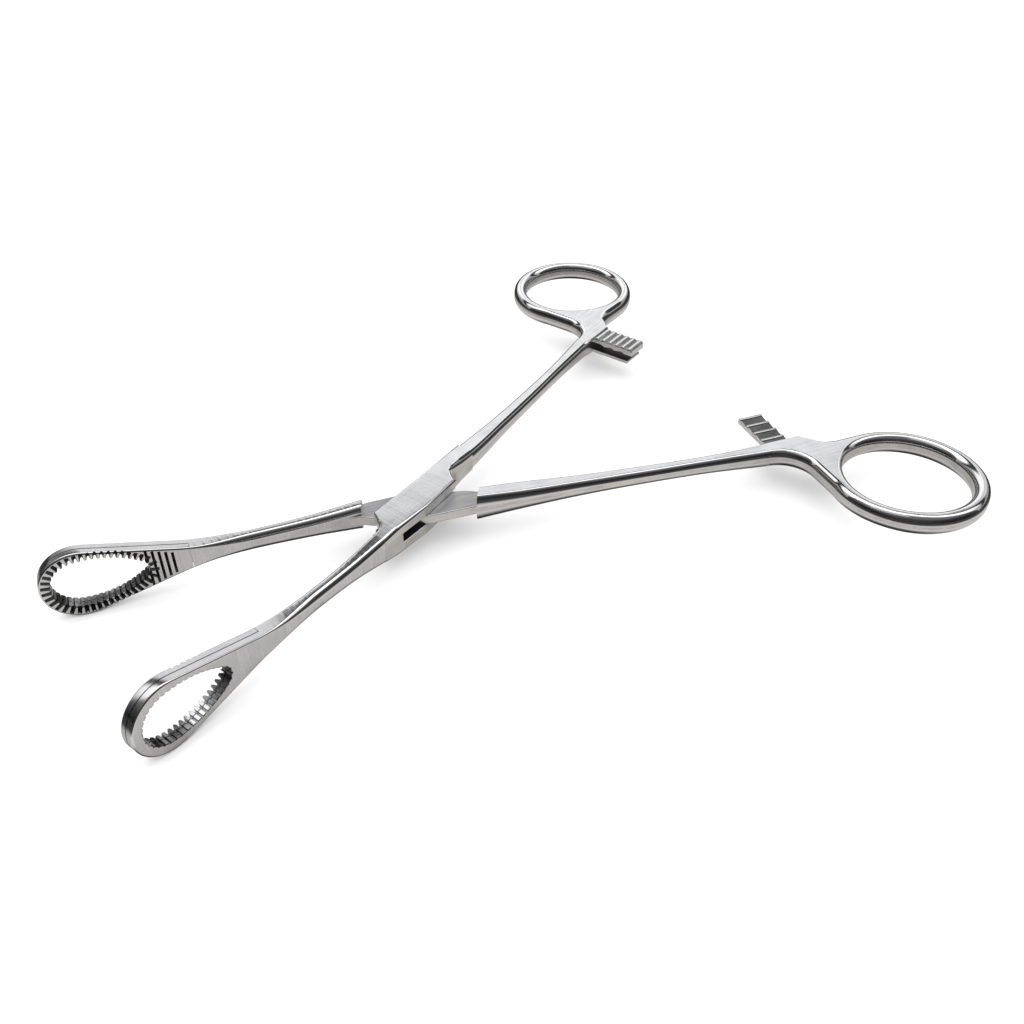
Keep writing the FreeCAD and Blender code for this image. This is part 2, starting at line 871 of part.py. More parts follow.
def main():
    fill_sheet()
    ring = finger_ring()
    web = neck_web()
    blank = jaw_body("plate_blank", size("plate_length"), size("jaw_layer"))
    doc.recompute()
    plate = cut("serrated_plate", blank, cutter_set("face_grooves", face_grooves()))
    back = cut("toothed_back", jaw_back(), cutter_set("back_notches", wall_notches()))
    handle = fuse("handle", ring, web)
    pin = pivot_pin()
    bore = cylinder("tongue_bore", size("pin_diameter") + 2 * size("pin_running_fit"),
                    size("lock_thickness"))
    box_limbs = fuse("box_limbs", limb_loft("box", "shank", "abcdef", 1),
                     limb_loft("box", "arm", "abcd", -1), handle, back, box_lock(), *box_ratchet())
    box = cut("box_closed", cut("slotted_box", box_limbs, lock_slot()), pin)
    shoulders = cut("shoulders", fuse("tongue_limbs", limb_loft("tongue", "shank", "abcdef", 1),
                                      limb_loft("tongue", "arm", "abcd", -1)), tongue_recess())
    tongue = cut("tongue_closed", fuse("tongue_solid", shoulders, handle, back, tongue_plate(),
                                       tongue_ratchet()), bore)
    doc.recompute()
    check_states()
    pieces = {
        "box_half": lay_open(box, 1),
        "box_jaw_plate": lay_open(copied("box_plate", plate), 1),
        "pivot_pin": lay_open(copied("pin", pin), 1),
        "tongue_half": lay_open(mirrored("tongue_turned", tongue), -1),
        "tongue_jaw_plate": lay_open(mirrored("tongue_plate", plate), -1),
    }
    for label, piece in pieces.items():
        piece.Label = label
    doc.recompute()
    check_states()
    os.makedirs("parts", exist_ok=True)
    for label, piece in pieces.items():
        if piece.Shape.isNull() or not piece.Shape.isValid():
            raise RuntimeError(f"{label} is not a valid shape")
    for label, piece in pieces.items():
        piece.Shape.exportStep(f"parts/{label}.step")


main()
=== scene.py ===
import math

import bmesh
import bpy
import numpy as np
from mathutils import Matrix, Vector
from mathutils.geometry import tessellate_polygon


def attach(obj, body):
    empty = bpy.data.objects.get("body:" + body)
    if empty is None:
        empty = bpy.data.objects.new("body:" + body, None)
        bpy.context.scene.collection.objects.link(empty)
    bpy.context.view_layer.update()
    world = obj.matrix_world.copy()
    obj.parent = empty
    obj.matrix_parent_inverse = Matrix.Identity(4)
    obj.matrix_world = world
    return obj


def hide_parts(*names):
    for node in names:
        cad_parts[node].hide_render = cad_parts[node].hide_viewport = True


# Sponge forceps lying open. Shapes are drawn in millimetres on a closed half, as in the solids:
# pivot at the origin, middle plane at Z 0, ring on the +Y side and jaw on the -Y side.

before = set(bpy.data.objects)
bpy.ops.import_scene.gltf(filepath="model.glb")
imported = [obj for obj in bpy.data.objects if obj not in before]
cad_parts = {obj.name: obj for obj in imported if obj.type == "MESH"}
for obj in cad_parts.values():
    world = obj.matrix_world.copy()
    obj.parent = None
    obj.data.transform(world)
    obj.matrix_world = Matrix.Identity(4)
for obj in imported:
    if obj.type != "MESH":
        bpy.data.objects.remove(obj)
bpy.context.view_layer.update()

REST_OPENING = 32.5
LOCK = 6.6
PLATE_FACE = 1.05
LOCK_END = 19.0
ARM_START = 13.0
RING = (95.6, 26.3)
RING_HALF = (12.95, 12.2)
RING_TILT = math.radians(17.0)
RING_WALL = 3.2
JAW_REACH = 68.2
JAW_YAW = math.radians(1.47)
LAYER = 1.4
PLATE_LENGTH = 26.0
SIDES = {"box": ("box_side", 1), "tongue": ("tongue_side", -1)}


# Outlines

def smooth_steps(steps, spacing=0.5):
    """Points of a closed outline; a third value is the radius of the arc that leads to the step,
    bending left where it is positive."""
    points = []
    for index, step in enumerate(steps):
        start = np.array(steps[index - 1][:2], float)
        end = np.array(step[:2], float)
        if len(step) == 2:
            points.append(end)
            continue
        radius = step[2]
        chord = end - start
        length = np.linalg.norm(chord)
        left = np.array((-chord[1], chord[0])) / length
        rise = math.sqrt(max(radius * radius - length * length / 4, 0.0))
        centre = (start + end) / 2 + left * math.copysign(rise, radius)
        first = math.atan2(*(start - centre)[::-1])
        turn = 2 * math.asin(min(length / 2 / abs(radius), 1.0)) * math.copysign(1, radius)
        count = max(3, int(abs(turn * radius) / spacing), int(abs(turn) / math.radians(7)))
        for part in range(1, count + 1):
            angle = first + turn * part / count
            points.append(centre + abs(radius) * np.array((math.cos(angle), math.sin(angle))))
    return np.array(points)


def ellipse(extra, first, last, count):
    """Part of the finger ring's oval, larger than its opening by extra."""
    points = []
    for part in range(count + 1):
        angle = math.radians(first + (last - first) * part / count)
        x = (RING_HALF[0] + extra) * math.cos(angle)
        y = (RING_HALF[1] + extra) * math.sin(angle)
        points.append((RING[0] + x * math.cos(RING_TILT) - y * math.sin(RING_TILT),
                       RING[1] + x * math.sin(RING_TILT) + y * math.cos(RING_TILT)))
    return np.array(points)


def curve_through(xs, ys, at):
    """Smooth value between stations."""
    xs, ys = np.array(xs, float), np.array(ys, float)
    slopes = np.gradient(ys, xs)
    at = np.clip(np.asarray(at, float), xs[0], xs[-1])
    index = np.clip(np.searchsorted(xs, at) - 1, 0, len(xs) - 2)
    width = xs[index + 1] - xs[index]
    t = (at - xs[index]) / width
    first = (2 * t ** 3 - 3 * t ** 2 + 1) * ys[index]
    first = first + (t ** 3 - 2 * t ** 2 + t) * width * slopes[index]
    second = (3 * t ** 2 - 2 * t ** 3) * ys[index + 1]
    return first + second + (t ** 3 - t ** 2) * width * slopes[index + 1]


# Meshes

# The fourth slot is painted shade: faces in recesses and gaps get a darker finish there.
FLAT, RIM, WALL, PAINTED_SHADE = 0, 1, 2, 3


def inward(loop):
    """Unit steps into the material at each point, lengthened at the corners."""
    before = loop - np.roll(loop, 1, axis=0)
    after = np.roll(loop, -1, axis=0) - loop
    before /= np.linalg.norm(before, axis=1)[:, None]
    after /= np.linalg.norm(after, axis=1)[:, None]
    normal = np.stack((-(before + after)[:, 1], (before + after)[:, 0]), axis=1)
    normal /= np.maximum(np.linalg.norm(normal, axis=1), 1e-6)[:, None]
    cosine = np.abs(normal[:, 0] * -after[:, 1] + normal[:, 1] * after[:, 0])
    return normal / np.clip(cosine, 0.45, 1.0)[:, None]


def rim(points, across=0.01, deep=None, under=None):
    """One closed edge of a plate and how far its rim is rounded, across the flat and down the wall;
    under is the pair for the lower side where that differs."""
    points = np.asarray(points, float)
    pairs = ((across, across if deep is None else deep),)
    pairs = (under or pairs[0],) + pairs
    return points, [[np.broadcast_to(np.asarray(value, float), len(points)) for value in pair]
                    for pair in pairs]


def slab(rims, low, high, rows=6, caps=(0, 0)):
    """Plate with rounded rims. The first edge is the outline and runs anticlockwise, the others are
    holes and run clockwise."""
    mesh = bmesh.new()
    loops = {"low": [], "high": []}
    for points, (under, over) in rims:
        step = inward(points)
        levels = []
        for part in range(rows + 1):
            angle = math.pi / 2 * part / rows
            levels.append((under[0] * (1 - math.sin(angle)),
                           low + under[1] * (1 - math.cos(angle))))
        for part in range(rows + 1):
            angle = math.pi / 2 * part / rows
            levels.append((over[0] * (1 - math.cos(angle)), high - over[1] * (1 - math.sin(angle))))
        grid = []
        for inset, height in levels:
            flat = points + step * inset[:, None]
            grid.append([mesh.verts.new((*xy, z)) for xy, z in zip(flat, height)])
        for row, (lower, upper) in enumerate(zip(grid, grid[1:])):
            for here in range(len(points)):
                after = (here + 1) % len(points)
                face = mesh.faces.new((lower[here], lower[after], upper[after], upper[here]))
                face.material_index = WALL if row == rows else RIM
        loops["low"].append(grid[0])
        loops["high"].append(grid[-1])
    for (word, ends), index in zip(loops.items(), caps):
        flat = [vertex for loop in ends for vertex in loop]
        lines = [[Vector((vertex.co.x, vertex.co.y, 0)) for vertex in loop] for loop in ends]
        for corners in tessellate_polygon(lines):
            corners = [flat[corner] for corner in corners]
            normal = (corners[1].co - corners[0].co).cross(corners[2].co - corners[0].co)
            if (normal.z > 0) != (word == "high"):
                corners.reverse()
            mesh.faces.new(corners).material_index = index
    return mesh


def slice_along(mesh, positions, axis=0):
    """Extra cuts across a mesh, so that it can bend there."""
    normal = [0, 0, 0]
    normal[axis] = 1
    for position in positions:
        point = [0, 0, 0]
        point[axis] = position
        bmesh.ops.bisect_plane(mesh, geom=mesh.verts[:] + mesh.edges[:] + mesh.faces[:],
                               dist=1e-5, plane_co=point, plane_no=normal)


def keep_side(mesh, point, normal):
    """Cut away the side that the normal points to and close the cut."""
    cut = bmesh.ops.bisect_plane(mesh, geom=mesh.verts[:] + mesh.edges[:] + mesh.faces[:],
                                 dist=1e-5, plane_co=point, plane_no=normal, clear_outer=True)
    edges = [item for item in cut["geom_cut"] if isinstance(item, bmesh.types.BMEdge)]
    filled = bmesh.ops.triangle_fill(mesh, edges=edges, use_beauty=True, use_dissolve=False)
    for item in filled["geom"]:
        if isinstance(item, bmesh.types.BMFace):
            item.material_index = WALL
    bmesh.ops.recalc_face_normals(mesh, faces=mesh.faces[:])


def place(mesh, way):
    """From the closed half in millimetres to the open forceps in metres."""
    if way < 0:
        for vertex in mesh.verts:
            vertex.co.y = -vertex.co.y
        bmesh.ops.reverse_faces(mesh, faces=mesh.faces[:])
    turn = Matrix.Rotation(math.radians(way * REST_OPENING / 2), 4, "Z")
    mesh.transform(Matrix.Scale(0.001, 4) @ Matrix.Translation((0, 0, LOCK / 2)) @ turn)


SHARP = math.radians(32)


def finish_piece(name, meshes, way, finishes):
    """One smooth-shaded object out of several meshes."""
    whole = bpy.data.meshes.new(name)
    joined = bmesh.new()
    for mesh in meshes:
        place(mesh, way)
        part = bpy.data.meshes.new("part")
        mesh.to_mesh(part)
        joined.from_mesh(part)
        bpy.data.meshes.remove(part)
        mesh.free()
    bmesh.ops.recalc_face_normals(joined, faces=joined.faces[:])
    joined.to_mesh(whole)
    joined.free()
    for material in finishes:
        whole.materials.append(material)
    whole.shade_smooth()
    whole.set_sharp_from_angle(angle=SHARP)
    piece = bpy.data.objects.new(name, whole)
    bpy.context.scene.collection.objects.link(piece)
    weighted = piece.modifiers.new("even_shading", "WEIGHTED_NORMAL")
    weighted.keep_sharp = True
    bake(piece)
    return piece


def bake(piece):
    """Turn an object with modifiers into a plain mesh."""
    graph = bpy.context.evaluated_depsgraph_get()
    graph.update()
    plain = bpy.data.meshes.new_from_object(piece.evaluated_get(graph), depsgraph=graph)
    piece.modifiers.clear()
    plain.name = piece.name
    piece.data = plain


# Materials

class Field:
    """A value in a node tree, with sums written as sums."""

    def __init__(self, tree, socket):
        self.tree = tree
        self.socket = socket

    def sum_with(self, kind, *others, swap=False):
        node = self.tree.nodes.new("ShaderNodeMath")
        node.operation = kind
        values = [self, *others]
        if swap:
            values.reverse()
        for socket, value in zip(node.inputs, values):
            put(self.tree, socket, value)
        return Field(self.tree, node.outputs[0])

    def __add__(self, other):
        return self.sum_with("ADD", other)

    def __sub__(self, other):
        return self.sum_with("SUBTRACT", other)

    def __rsub__(self, other):
        return self.sum_with("SUBTRACT", other, swap=True)

    def __mul__(self, other):
        return self.sum_with("MULTIPLY", other)

    def __neg__(self):
        return self.sum_with("MULTIPLY", -1.0)

    __radd__ = __add__
    __rmul__ = __mul__

    def at_least(self, other):
        return self.sum_with("MAXIMUM", other)

    def between(self, low, high):
        """0 up to low, 1 from high, smooth between."""
        return add_node(self.tree, "ShaderNodeMapRange", {"interpolation_type": "SMOOTHSTEP"},
                        {"Value": self, "From Min": low, "From Max": high})


def put(tree, socket, value):
    """Link a value that varies, or set a plain one."""
    if isinstance(value, Field):
        tree.links.new(value.socket, socket)
    else:
        socket.default_value = value


def add_node(tree, kind, settings=None, values=None, out=0):
    """Any node: its settings first, then its values and links."""
    node = tree.nodes.new(kind)
    for name, value in (settings or {}).items():
        setattr(node, name, value)
    for name, value in (values or {}).items():
        put(tree, node.inputs[name], value)
    return Field(tree, node.outputs[out])


def mixed(tree, factor, first, second):
    """Blend of two colours."""
    return add_node(tree, "ShaderNodeMix", {"data_type": "RGBA"},
                    {0: factor, 6: first, 7: second}, out=2)


def send_out(tree, kind, shader):
    """Join a shader to its tree's output node."""
    tree.links.new(shader.socket, tree.nodes.new(kind).inputs["Surface"])


def turned_point(tree, turn, stretch):
    """Position in the forceps' own millimetres, turned about Z and then stretched."""
    place = add_node(tree, "ShaderNodeTexCoord", out=3)
    turned = add_node(tree, "ShaderNodeVectorRotate", {"rotation_type": "Z_AXIS"},
                      {"Vector": place, "Angle": math.radians(turn)})
    scale = add_node(tree, "ShaderNodeVectorMath", {"operation": "MULTIPLY"},
                     {0: turned, 1: tuple(1000 * value for value in stretch)})
    return scale


def noise(tree, point, scale, detail=2.0, roughness=0.5):
    return add_node(tree, "ShaderNodeTexNoise", None,
                    {"Vector": point, "Scale": scale, "Detail": detail, "Roughness": roughness})


def steel(name, turn, tint, grain, roughness, spread, scratch, mottle):
    """Steel with a fine directional grain, cloudy wear and faint scratches."""
    material = bpy.data.materials.new(name)
    material.use_nodes = True
    tree = material.node_tree
    tree.nodes.clear()
    lines = noise(tree, turned_point(tree, turn, grain), 1.0, 3.0, 0.6)
    coarse = noise(tree, turned_point(tree, turn, tuple(value * 0.35 for value in grain)), 1.0, 2.0)
    cloud = noise(tree, turned_point(tree, turn, (0.22, 0.22, 0.22)), 1.0, 4.0)
    streak = lines * 0.65 + coarse * 0.35
    dark = tuple(value * (1 - mottle * 2.2) for value in tint) + (1.0,)
    light = tuple(min(1.0, value * (1 + mottle)) for value in tint) + (1.0,)
    tone = (streak * 0.6 + cloud * 0.4).between(0.3, 0.7)
    rough = (streak - 0.5) * spread + (cloud - 0.5) * (spread * 0.6) + roughness
    bump = add_node(tree, "ShaderNodeBump", None,
                    {"Strength": scratch, "Distance": 0.00003, "Height": streak})
    shader = add_node(tree, "ShaderNodeBsdfPrincipled", None, {
        "Base Color": mixed(tree, tone, dark, light), "Metallic": 1.0,
        "Roughness": rough.at_least(0.04), "Normal": bump})
    send_out(tree, "ShaderNodeOutputMaterial", shader)
    return material


ALONG = (0.12, 4.5, 4.5)
ACROSS = (4.5, 0.14, 4.5)
UPRIGHT = (4.5, 4.5, 0.2)
FINE = (5.0, 5.0, 5.0)
# Painted reflection tint: upward flats get a slightly cool tint and walls a warm one, for what they
# mirror.
COOL_TOP_REFLECTION_TINT = (0.80, 0.805, 0.82)
WARM_FLOOR_REFLECTION_TINT = (0.80, 0.79, 0.77)
BRIGHT = (0.86, 0.86, 0.87)
# Each finish: name, tint, grain, roughness, how far it varies, depth of the scratches, mottle
FINISHES = {
    "flat": ("brushed_flat", COOL_TOP_REFLECTION_TINT, ALONG, 0.24, 0.14, 0.05, 0.10),
    "across": ("brushed_across", COOL_TOP_REFLECTION_TINT, ACROSS, 0.26, 0.16, 0.08, 0.10),
    "rim": ("polished_rim", BRIGHT, FINE, 0.10, 0.05, 0.02, 0.02),
    "wall": ("satin_wall", WARM_FLOOR_REFLECTION_TINT, ALONG, 0.21, 0.14, 0.04, 0.14),
    "upright": ("brushed_upright", COOL_TOP_REFLECTION_TINT, UPRIGHT, 0.25, 0.14, 0.07, 0.09),
    # Rougher steel with a darker tint for the tongue between the box plates: real dull grain plus
    # painted shade.
    "dull": ("dull_inner", (0.50, 0.50, 0.51), ALONG, 0.34, 0.16, 0.10, 0.16),
    # Near-black steel for the faces between the plates and in slots: painted shade.
    "inside": ("slot_inside", (0.10, 0.10, 0.10), ALONG, 0.45, 0.12, 0.10, 0.05),
    # Polished steel with a darker tint for the jaw and arm walls: painted shade that dims what they
    # reflect.
    "soft": ("soft_polish", (0.62, 0.62, 0.63), FINE, 0.18, 0.08, 0.03, 0.08),
    "ridge": ("ratchet_ridge", (0.78, 0.78, 0.79), FINE, 0.20, 0.08, 0.03, 0.05),
    # Near-black steel for the tooth grooves, notches and window walls: painted shade in the
    # recesses.
    "teeth": ("cut_teeth", (0.26, 0.26, 0.265), FINE, 0.24, 0.08, 0.03, 0.05),
}
materials = {}
for side, (_, way) in SIDES.items():
    turn = -way * REST_OPENING / 2
    materials[side] = {use: steel(f"{side}_{name}", turn, *finish)
                       for use, (name, *finish) in FINISHES.items()}


def finish_list(side, *uses):
    """One side's finishes in the order of FLAT, RIM, WALL and the painted shade slot."""
    return [materials[side][use] for use in uses]


def dress(node, *names):
    """Steel on a solid that is shown as it is."""
    node.data.materials.clear()
    for material in names:
        node.data.materials.append(material)


# Pieces

def dense(loop, spacing=0.6):
    """The same closed outline with no two points further apart than spacing."""
    points = []
    for start, end in zip(loop, np.roll(loop, -1, axis=0)):
        count = max(1, math.ceil(np.linalg.norm(end - start) / spacing))
        points.extend(start + (end - start) * part / count for part in range(count))
    return np.array(points)


def axes_to(mesh, order):
    """Send a mesh's own three axes to others of the half."""
    for vertex in mesh.verts:
        old = vertex.co.copy()
        for own, target in enumerate(order):
            vertex.co[target] = old[own]


SHANK_X = (10.0, 19.0, 33.0, 47.0, 60.0, 73.5)
SHANK_MIDDLE = (2.4, 2.95, 4.3, 5.75, 7.2, 8.75)
SHANK_WIDTH = (4.0, 4.25, 3.4, 3.0, 2.85, 3.6)
SHANK_HEIGHT = (6.0, 4.75, 3.7, 3.3, 3.4, 4.0)
NECK_SIDE = 79.65
NECK_FILLET = 6.5
HEEL_FILLET = 8.6
WEB_CORNER = (82.4, 7.1)


def shank_edge(x, way):
    return (curve_through(SHANK_X, SHANK_MIDDLE, x)
            + way * curve_through(SHANK_X, SHANK_WIDTH, x) / 2)


def handle_mesh(side):
    """Shank, neck and finger ring as one rounded plate whose thickness follows the shank."""
    first = 15.0 if side == "box" else 8.0
    inner_x = np.arange(first, 73.6, 0.7)
    outer_x = np.arange(first, 74.0, 0.7)[::-1]
    heel_y = 10.87
    drop = HEEL_FILLET - (heel_y - WEB_CORNER[1])
    heel_x = WEB_CORNER[0] + math.sqrt(HEEL_FILLET ** 2 - drop ** 2)
    bend = (NECK_SIDE - NECK_FILLET * 0.86, 10.66)
    neck = smooth_steps([(NECK_SIDE, bend[1] + NECK_FILLET * 0.99), (*bend, -NECK_FILLET),
                         (40, 40), (NECK_SIDE, 60)], 0.4)[:-2]
    heel = smooth_steps([WEB_CORNER, (heel_x, heel_y, -HEEL_FILLET), (90, 60), (60, 60)], 0.4)[:-2]
    outer = np.vstack((
        np.stack((inner_x, shank_edge(inner_x, -1)), axis=1),
        heel,
        ellipse(RING_WALL, -108, 172, 170),
        neck,
        np.stack((outer_x, shank_edge(outer_x, 1)), axis=1),
    ))
    outer = dense(outer, 0.7)
    x, y = outer.T
    across = 0.92 + 0.5 * np.clip((x - 72.0) / 12.0, 0, 1)
    across[(x > 73) & (x < 85.5) & (y < 9.8)] = 0.3
    for _ in range(8):
        across = (np.roll(across, 1) + across * 2 + np.roll(across, -1)) / 4
    across[x < first + 0.01] = 0.01
    half = 2.2
    hole = ellipse(0, 360, 0, 150)[:-1]
    hole_across = 1.4 - 0.5 * np.exp(-((hole[:, 0] - 86) ** 2 + (hole[:, 1] - 18) ** 2) / 40)
    mesh = slab([rim(outer, across, np.minimum(across * 1.9, 1.85)),
                 rim(hole, hole_across, hole_across * 1.2)], -half, half, 9)
    if side == "box":
        keep_side(mesh, (18.6, 0, 0), (-1, 0, 0))
    else:
        keep_side(mesh, (12.9, 0.6, 0), (-4.15, -2.2, 0))
    slice_along(mesh, np.arange(11.5, 92, 1.5))
    for vertex in mesh.verts:
        x = vertex.co.x
        if x < 73.5:
            height = curve_through(SHANK_X, SHANK_HEIGHT, x)
        else:
            blend = min(max((x - 80) / 10, 0.0), 1.0)
            height = 4.0 + 0.4 * blend * blend * (3 - 2 * blend)
        vertex.co.z *= float(height) / 2 / half
    return mesh


def taper_lock(mesh):
    """Slope the lock's flats down to the shank and the arm."""
    slice_along(mesh, (-9.5, 9.5))
    for vertex in mesh.verts:
        x, z = vertex.co.x, vertex.co.z
        fall = max(x - 9.5, 0) * 0.75 / 10.5 + max(-9.5 - x, 0) * 0.55 / 4.5
        if abs(z) > PLATE_FACE:
            share = (abs(z) - PLATE_FACE) / (LOCK / 2 - PLATE_FACE)
            vertex.co.z -= math.copysign(fall * share, z)


def box_lock_meshes():
    """Upper and lower plate of the box with the solid ends between them."""
    outline = dense(smooth_steps([
        (-15.0, -3.74), (-1.06, -3.8), (8.5, -2.95), (10.0, -0.75), (12.2, 0.35, -2.2),
        (21.0, 0.965), (21.0, 5.371), (8.5, 3.52), (-8.5, 2.95), (-10.0, 0.75),
        (-12.2, -0.65, -2.2), (-15.0, -0.65)], 0.25), 0.5)
    x, y = outline.T
    across = np.full(len(outline), 0.25)
    front = (y < -2.8) & (x < 8)
    across[front] = 0.25 + 0.5 * np.clip((1 - x[front]) / 14.0, 0, 1)
    step = (y < -0.7) & (x > 0) & (x < 10.5)
    across[step] = 0.25 + 0.25 * np.clip(x[step] / 8.5, 0, 1)
    inner = (x > 10.6) & (y < 2)
    across[inner] = 0.45 + 0.47 * np.clip((x[inner] - 10.6) / 4.5, 0, 1)
    outer = (x > 9) & (y > 3)
    across[outer] = 0.25 + 0.6 * np.clip((x[outer] - 9) / 10, 0, 1)
    arm = (x < -9.0) & (y > -2)
    across[arm] = 0.3 + 0.45 * np.clip((-9.0 - x[arm]) / 4.0, 0, 1)
    across[(x > 20.99) | (x < -14.99)] = 0.01
    deep = np.minimum(across * np.where(inner, 1.85, 1.45), 1.95)
    open_side = ((y < 0) & (x > -8.2) & (x < 12.5)) | ((y > 0) & (x < 8.2) & (x > -12.5))
    lip = np.where(open_side, 0.14, 0.004)
    pin_hole = [(1.9 * math.cos(angle), -1.9 * math.sin(angle))
                for angle in np.linspace(0, 2 * math.pi, 48, endpoint=False)]
    # The plates' inner faces towards the tongue and the caps of the solid ends take the painted
    # shade finish: painted shade between the plates.
    upper = slab([rim(outline, across, deep, under=(lip, lip)), rim(pin_hole, 0.03)],
                 PLATE_FACE, LOCK / 2, 6, caps=(PAINTED_SHADE, FLAT))
    lower = slab([rim(outline, lip, lip, under=(across, deep)), rim(pin_hole, 0.03)],
                 -LOCK / 2, -PLATE_FACE, 6, caps=(FLAT, PAINTED_SHADE))
    meshes = [upper, lower]
    for corners in (
        [(-15.0, -3.73), (-8.2, -3.79), (-12.46, -0.65), (-15.0, -0.65)],
        [(13.0, 0.42), (21.0, 0.965), (21.0, 5.371), (8.5, 3.51), (8.2, 3.5)],
    ):
        meshes.append(slab([rim(corners, 0.002)], -PLATE_FACE - 0.01, PLATE_FACE + 0.01, 1,
                           caps=(PAINTED_SHADE, PAINTED_SHADE)))
    for mesh in meshes:
        keep_side(mesh, (LOCK_END, 0, 0), (1, 0, 0))
        keep_side(mesh, (-ARM_START, 0, 0), (-1, 0, 0))
        taper_lock(mesh)
    return meshes


def tongue_mesh():
    outline = dense(smooth_steps([
        (-13.0, -3.5), (-8.5, -4.15), (-1.7, -4.15), (10.5, -0.95), (12.9, 0.35), (13.9, 0.6),
        (13.9, 4.55), (1.7, 4.15), (-8.8, 0.95), (-10.8, -0.15), (-13.0, -0.65)]), 0.8)
    return slab([rim(outline, 0.12)], -1.0, 1.0, 3)


ARM_X = (-68.2, -45.0, -38.0, -30.0, -19.0, -12.6, -8.0)
ARM_FACE = (-0.075, -0.67, -0.85, -0.925, -0.8, -0.7, -0.68)
ARM_BACK = (-2.875, -3.47, -3.62, -3.4, -3.5, -3.7, -3.75)
ARM_HALF = {"box": (1.85, 1.85, 1.85, 1.85, 2.15, 2.85, 3.3),
            "tongue": (1.85, 1.85, 1.85, 1.85, 2.15, 2.6, 3.0)}
TIP = 7.0
TAPER = math.radians(14.4)
FLARE = 34.0


def window_loop():
    """Tooth line of the window, clockwise: round nose, flatter flanks and a tight end."""
    nose, flank, end = 5.0, 16.0, 2.2
    nose_x, end_x = 7.0, 16.4
    span = end_x - nose_x
    to_nose, to_end = flank - nose, flank - end
    along = (span * span + to_nose ** 2 - to_end ** 2) / (2 * span)
    below = math.sqrt(to_nose ** 2 - along ** 2)
    first = (nose_x - along * nose / to_nose, below * nose / to_nose)
    last = (end_x + (span - along) * end / to_end, below * end / to_end)
    return smooth_steps([
        (2.0, 0.0, nose), (first[0], -first[1], nose), (last[0], -last[1], flank),
        (18.6, 0.0, end), (*last, end), (*first, flank)], 0.3)[::-1]


def jaw_and_arm(side):
    """Teardrop jaw with its window and the arm up to the lock, on the jaw's own axes: distance
    from the tip, height, and depth behind the gripping face."""
    half = 1.85
    shoulder = (TIP + TIP * math.sin(TAPER), TIP * math.cos(TAPER))
    rise = FLARE * (1 - math.cos(TAPER))
    foot = shoulder[0] + FLARE * math.sin(TAPER) + (shoulder[1] - half - rise) / math.tan(TAPER)
    bend = (foot - FLARE * math.sin(TAPER), half + rise)
    reach = JAW_REACH - (11.5 if side == "box" else 6.5)
    arm = np.arange(foot + 1.0, reach, 1.0)
    heights = curve_through(ARM_X, ARM_HALF[side], arm - JAW_REACH)
    upper = np.stack((arm, heights), axis=1)
    arm_foot = upper[0][0]
    jaw = smooth_steps([
        (foot, -half), (arm_foot, -half), (arm_foot, half), (foot, half), (*bend, -FLARE),
        shoulder, (0.0, 0.0, TIP), (shoulder[0], -shoulder[1], TIP), (bend[0], -bend[1]),
        (foot, -half, -FLARE)], 0.4)
    start = [index for index, point in enumerate(jaw) if abs(point[0] - foot) < 1e-6
             and point[1] > 0][0]
    outline = dense(np.vstack((upper * (1, -1), upper[::-1], jaw[start:])), 0.7)
    along = outline[:, 0]
    grown = np.clip((along - 26.0) / 12.0, 0, 1)
    grown = grown * grown * (3 - 2 * grown)
    near_lock = np.clip((along - 44.0) / 11.0, 0, 1) if side == "box" else 0 * grown
    height = (0.34 + 1.0 * grown) * (1 - near_lock) + 1.05 * near_lock
    height[along > upper[-1][0] - 0.01] = 0.01
    depth = (0.34 + 0.62 * grown) * (1 - near_lock) + 0.72 * near_lock
    return slab([rim(outline, height, depth), rim(window_loop(), 0.2)], 0, 2 * LAYER, 7)


def stand_jaw(mesh):
    """From the jaw's own axes to the closed half, following the arm's slight curve."""
    slice_along(mesh, np.arange(27.0, 60.0, 1.5))
    for vertex in mesh.verts:
        along, height, depth = vertex.co
        x = along * math.cos(JAW_YAW) - JAW_REACH
        face = float(curve_through(ARM_X, ARM_FACE, x))
        back = float(curve_through(ARM_X, ARM_BACK, x))
        share = depth / (2 * LAYER)
        vertex.co = (x - depth * math.sin(JAW_YAW), face + share * (back - face), height)
    bmesh.ops.recalc_face_normals(mesh, faces=mesh.faces[:])


CATCH = 2.85


def bar_mesh(profile):
    """Ratchet bar, its side view given by distance across the half and height."""
    mesh = slab([rim(dense(smooth_steps(profile, 0.12), 0.8), 0.1)], 76.0, 81.6, 3)
    axes_to(mesh, (1, 2, 0))
    bmesh.ops.recalc_face_normals(mesh, faces=mesh.faces[:])
    return mesh


def fork_meshes():
    """Ridged bar with the catches under it, and the thin guard below."""
    tip, root, low, high, depth = -3.5, 8.6, 0.075, 1.425, 0.4
    ridge, ridges = 1.8, 6
    last = tip + ridges * ridge
    steps = [(root, low + depth), (root, high), (last + 0.2, high), (last, high)]
    steps += [(tip + number * ridge, high, 1.12) for number in reversed(range(ridges))]
    steps.append((tip, low))
    for number in range(1, 4):
        steps.append((tip + number * CATCH - 0.85, low))
        steps.append((tip + number * CATCH, low + depth))
    upper = bar_mesh(steps)
    guard = bar_mesh([(tip + 1.0, -2.075), (tip + 1.0, -1.575), (root, -1.575), (root, -2.075)])
    # Faces inside the slot between the bar and the guard take the painted shade finish: painted
    # shade in the gap.
    for face in upper.faces[:] + guard.faces[:]:
        height = face.calc_center_median().z
        if (face.normal.z < -0.5 and height > 0) or (face.normal.z > 0.5 and height < 0):
            face.material_index = PAINTED_SHADE
    return [upper, guard]


